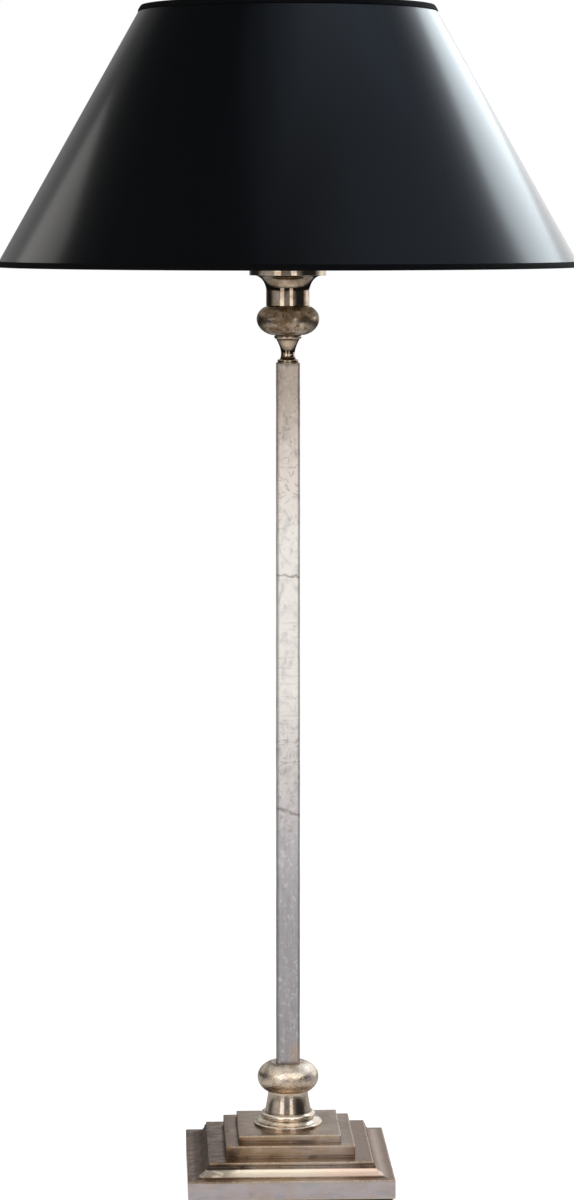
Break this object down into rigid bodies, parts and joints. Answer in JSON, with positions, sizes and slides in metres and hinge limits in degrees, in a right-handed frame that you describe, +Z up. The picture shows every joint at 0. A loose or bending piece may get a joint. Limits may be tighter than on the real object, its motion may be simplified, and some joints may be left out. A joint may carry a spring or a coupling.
{
  "type": "table lamp",
  "caption": "Table lamp: a silver-leafed square column between turned knobs on a stepped square base, with a black empire shade clamped on a screw lampholder.",
  "frame": {"origin": "on the floor, at the centre of the felt pad under the column", "axes": "+Z up along the column, -Y the front, +Y the back, where the cord inlet is"},
  "size_m": [0.4016, 0.4016, 0.8086],
  "materials": {
    "felt": "dark wool felt",
    "zinc_steel": "zinc plated",
    "cast_iron": "raw casting",
    "cast_patina": "antique silver patina, brushed, brown in the corners",
    "silvered_brass": "worn silver plate, polished on the high spots",
    "silver_leaf": "silver leaf with fine cracks and leaf joins",
    "black_plastic": "moulded",
    "holder_brass": "bright drawn brass",
    "porcelain": "white glazed porcelain",
    "bulb_metal": "rolled",
    "opal_glass": "opal white",
    "shade_wire": "white lacquered wire",
    "black_card": "satin black card, pale inside",
    "black_tape": "woven black bias tape"
  },
  "bodies": {
    "lamp_stand": {"felt_pad": "felt", "base_cover": "zinc_steel", "ballast_plate": "cast_iron", "base_casting": "cast_patina", "cord_bush": "black_plastic", "base_washer": "zinc_steel", "base_nut": "zinc_steel", "cover_screw_1": "zinc_steel", "cover_screw_2": "zinc_steel", "cover_screw_3": "zinc_steel", "cover_screw_4": "zinc_steel", "tie_rod": "zinc_steel", "lower_bell": "silvered_brass", "lower_knob": "silvered_brass", "square_tube": "silver_leaf", "tube_plug_lower": "zinc_steel", "tube_plug_upper": "zinc_steel", "upper_neck": "silvered_brass", "upper_knob": "silvered_brass", "candle_cup": "silvered_brass", "top_nipple": "zinc_steel", "holder_cap": "holder_brass", "holder_insert": "porcelain", "screw_shell": "holder_brass", "centre_contact": "holder_brass", "holder_shell": "holder_brass"},
    "switch_bar": {"switch_bar": "black_plastic"},
    "shade_ring": {"shade_ring": "holder_brass"},
    "bulb": {"bulb_tip": "bulb_metal", "bulb_insulator": "black_plastic", "bulb_cap": "bulb_metal", "bulb_glass": "opal_glass"},
    "shade": {"fitter": "shade_wire", "shade_skin": "black_card", "bottom_ring": "shade_wire", "top_ring": "shade_wire", "bottom_trim": "black_tape", "top_trim": "black_tape"}
  },
  "joints": [
    {"name": "shade_turn", "type": "hinge", "parent": "lamp_stand", "child": "shade", "pos_m": [0, 0, 0.6486], "axis": [0, 0, 1], "continuous": true},
    {"name": "shade_ring_turn", "type": "hinge", "parent": "lamp_stand", "child": "shade_ring", "pos_m": [0, 0, 0.6534], "axis": [0, 0, 1], "continuous": true},
    {"name": "bulb_unscrew", "type": "slide", "parent": "lamp_stand", "child": "bulb", "axis": [0, 0, 1], "range_m": [0, 0.028]},
    {"name": "switch_push", "type": "slide", "parent": "lamp_stand", "child": "switch_bar", "axis": [1, 0, 0], "range_m": [0, 0.005]}
  ]
}
